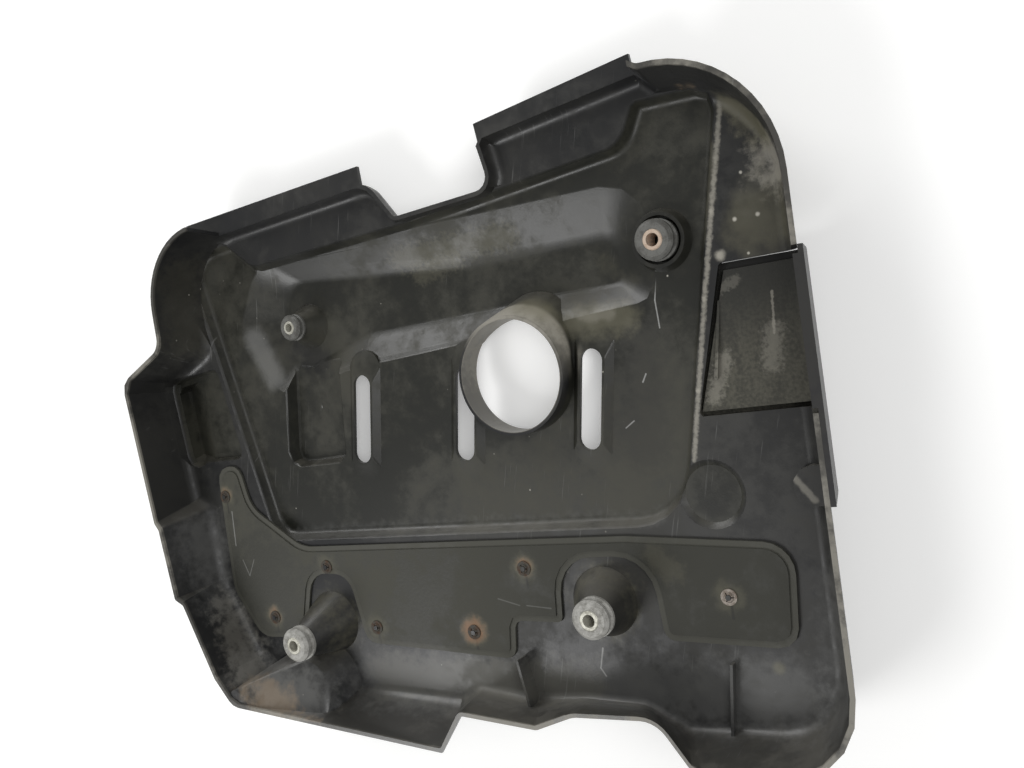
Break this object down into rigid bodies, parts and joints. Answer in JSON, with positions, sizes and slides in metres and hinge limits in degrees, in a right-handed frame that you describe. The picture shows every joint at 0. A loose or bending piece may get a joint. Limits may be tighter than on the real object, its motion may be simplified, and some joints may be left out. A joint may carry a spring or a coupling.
{
  "type": "engine cover",
  "caption": "Moulded engine cover seen from inside, with skirt, round collar, slots, grommeted mounting posts and a heat shield.",
  "frame": {"origin": "centre of the outline, on the plane under the trough's outer face", "axes": "+X towards the side trim, +Y towards the two tabs, +Z from the outer face to the open side"},
  "size_m": [0.5931, 0.4585, 0.0715],
  "materials": {
    "moulding": "dusty black moulded plastic",
    "trim": "rough dusty black plastic",
    "shield": "dull olive black sheet",
    "rubber": "grey rubber",
    "sleeve_pale": "dull pale metal",
    "sleeve_warm": "dull copper tint",
    "nut_steel": "rusted spring steel"
  },
  "bodies": {
    "root": {"shell": "moulding", "side_trim": "trim", "heat_shield": "shield", "grommet_bowl": "rubber", "grommet_panel": "rubber", "grommet_left": "rubber", "grommet_right": "rubber", "sleeve_bowl": "sleeve_pale", "sleeve_left": "sleeve_pale", "sleeve_right": "sleeve_pale", "sleeve_panel": "sleeve_warm", "push_nut_1": "nut_steel", "push_nut_2": "nut_steel", "push_nut_3": "nut_steel", "push_nut_4": "nut_steel", "push_nut_5": "nut_steel", "push_nut_6": "nut_steel", "push_nut_7": "nut_steel"}
  },
  "joints": []
}
